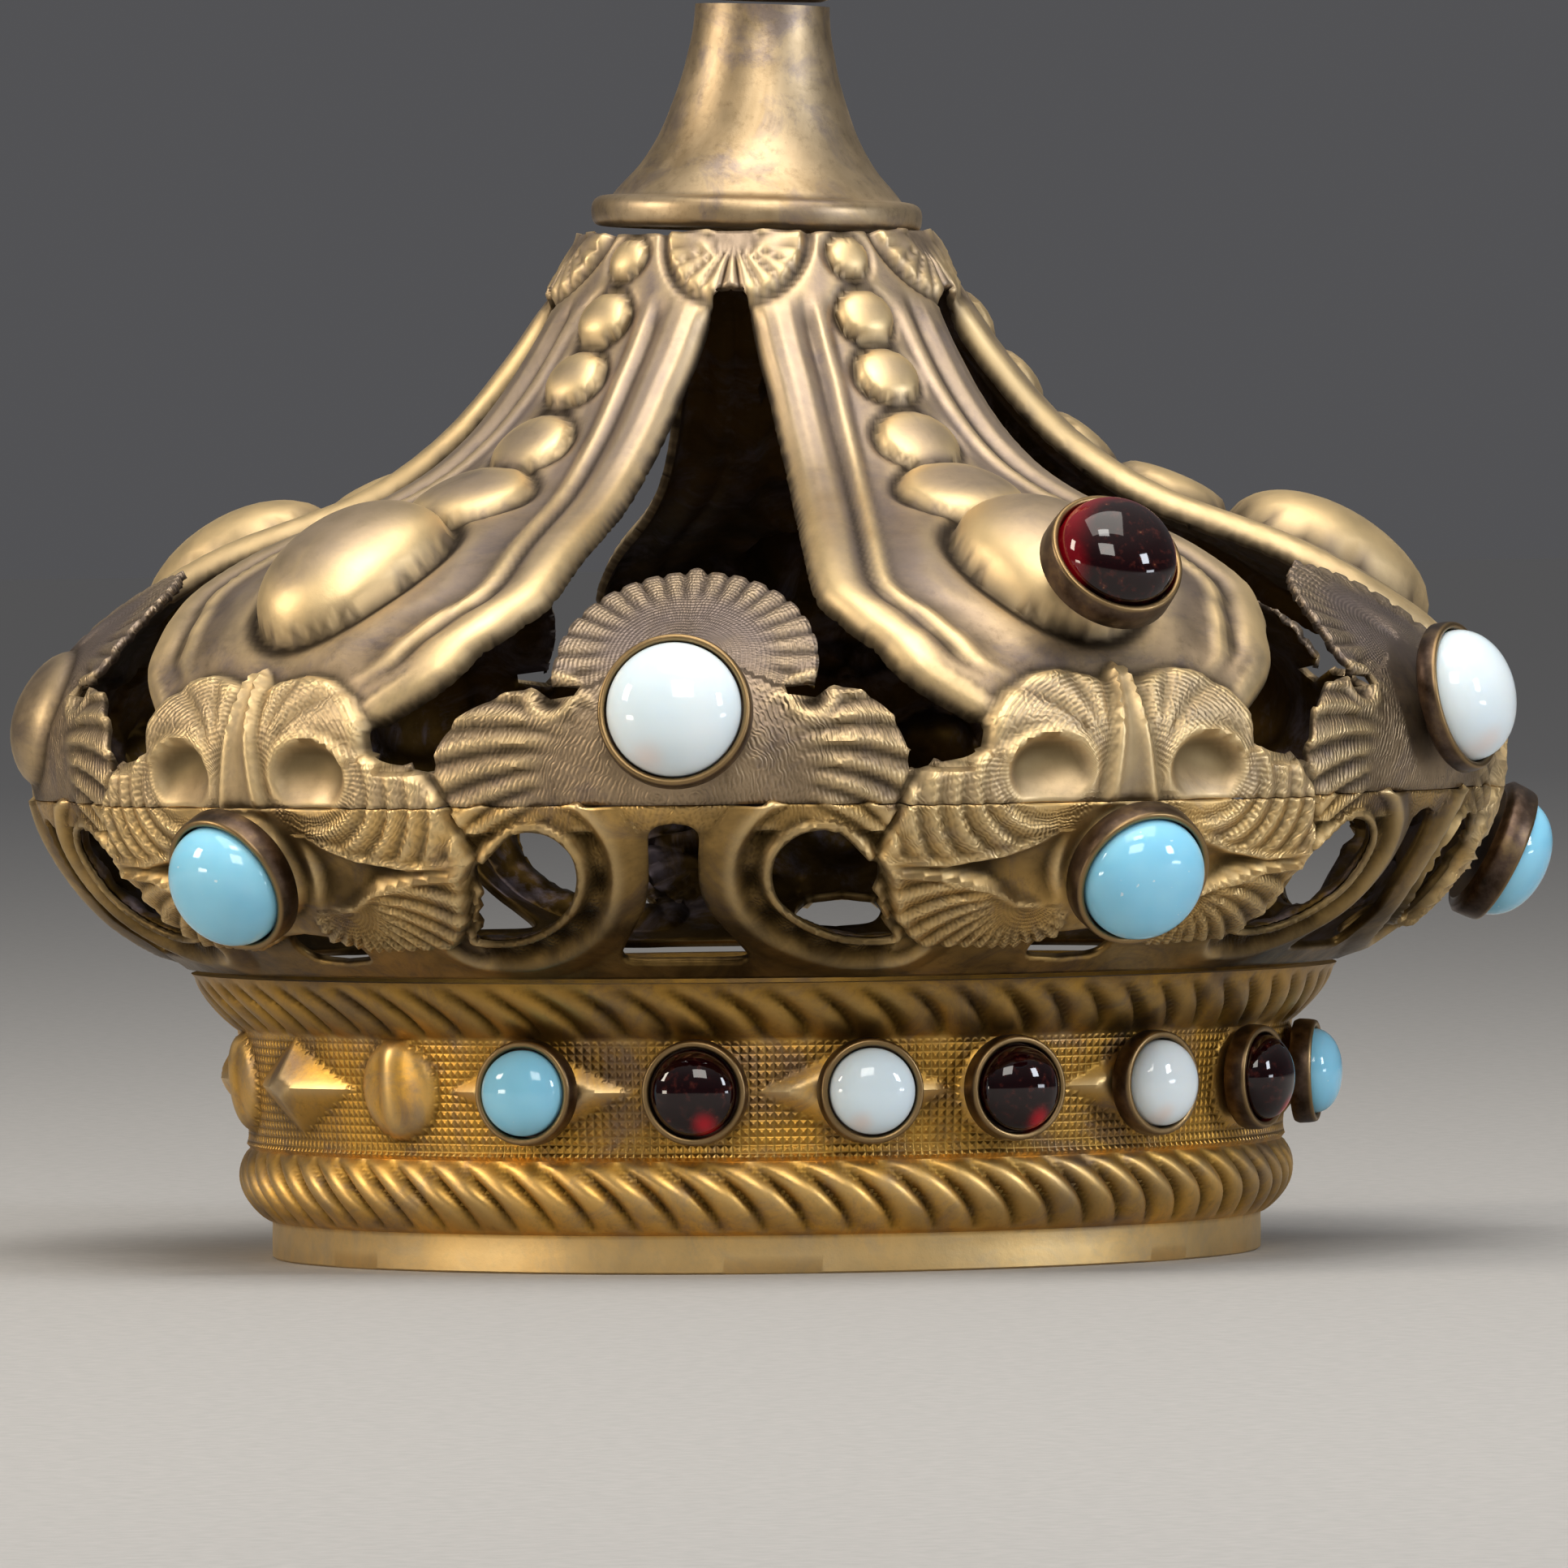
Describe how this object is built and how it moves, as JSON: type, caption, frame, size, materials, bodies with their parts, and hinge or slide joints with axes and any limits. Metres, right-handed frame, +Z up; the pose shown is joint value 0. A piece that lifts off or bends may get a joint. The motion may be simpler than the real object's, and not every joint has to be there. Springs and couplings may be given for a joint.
{
  "type": "ceremonial crown",
  "caption": "Closed arched crown of stamped gilt brass: jewelled rope-edged circlet, openwork scroll gallery with palmettes, beaded arches, and a trumpet finial with orb and cross.",
  "frame": {"origin": "on the base plane, under the middle of the whole crown's box; the circlet's axis stands 1.54 mm behind it, at y = +0.00154", "axes": "+Z up along the circlet's axis; -Y is the crown's front, the arch that carries the large garnet"},
  "size_m": [0.092, 0.093, 0.1002],
  "materials": {
    "gilt_brass": "aged gilding, satin, with dark dirt in the recesses",
    "polished_brass": "worn smooth, satin to polished",
    "collet_brass": "darkened, satin",
    "garnet_glass": "polished, dark red, translucent",
    "turquoise_glass": "polished, opaque sky blue",
    "opal_glass": "polished, milky white"
  },
  "bodies": {
    "root": {"circlet": "gilt_brass", "gallery": "gilt_brass", "crown_arches": "gilt_brass", "trumpet": "polished_brass", "collar": "polished_brass", "orb": "polished_brass", "cross": "polished_brass", "large_garnet_1": "garnet_glass", "large_garnet_collet_1": "collet_brass", "large_turquoise_1": "turquoise_glass", "large_turquoise_collet_1": "collet_brass", "large_turquoise_2": "turquoise_glass", "large_turquoise_collet_2": "collet_brass", "large_turquoise_3": "turquoise_glass", "large_turquoise_collet_3": "collet_brass", "large_opal_1": "opal_glass", "large_opal_collet_1": "collet_brass", "large_opal_2": "opal_glass", "large_opal_collet_2": "collet_brass", "band_garnet_1": "garnet_glass", "band_garnet_collet_1": "collet_brass", "band_garnet_2": "garnet_glass", "band_garnet_collet_2": "collet_brass", "band_garnet_3": "garnet_glass", "band_garnet_collet_3": "collet_brass", "band_turquoise_1": "turquoise_glass", "band_turquoise_collet_1": "collet_brass", "band_turquoise_2": "turquoise_glass", "band_turquoise_collet_2": "collet_brass", "band_opal_1": "opal_glass", "band_opal_collet_1": "collet_brass", "band_opal_2": "opal_glass", "band_opal_collet_2": "collet_brass"}
  },
  "joints": []
}
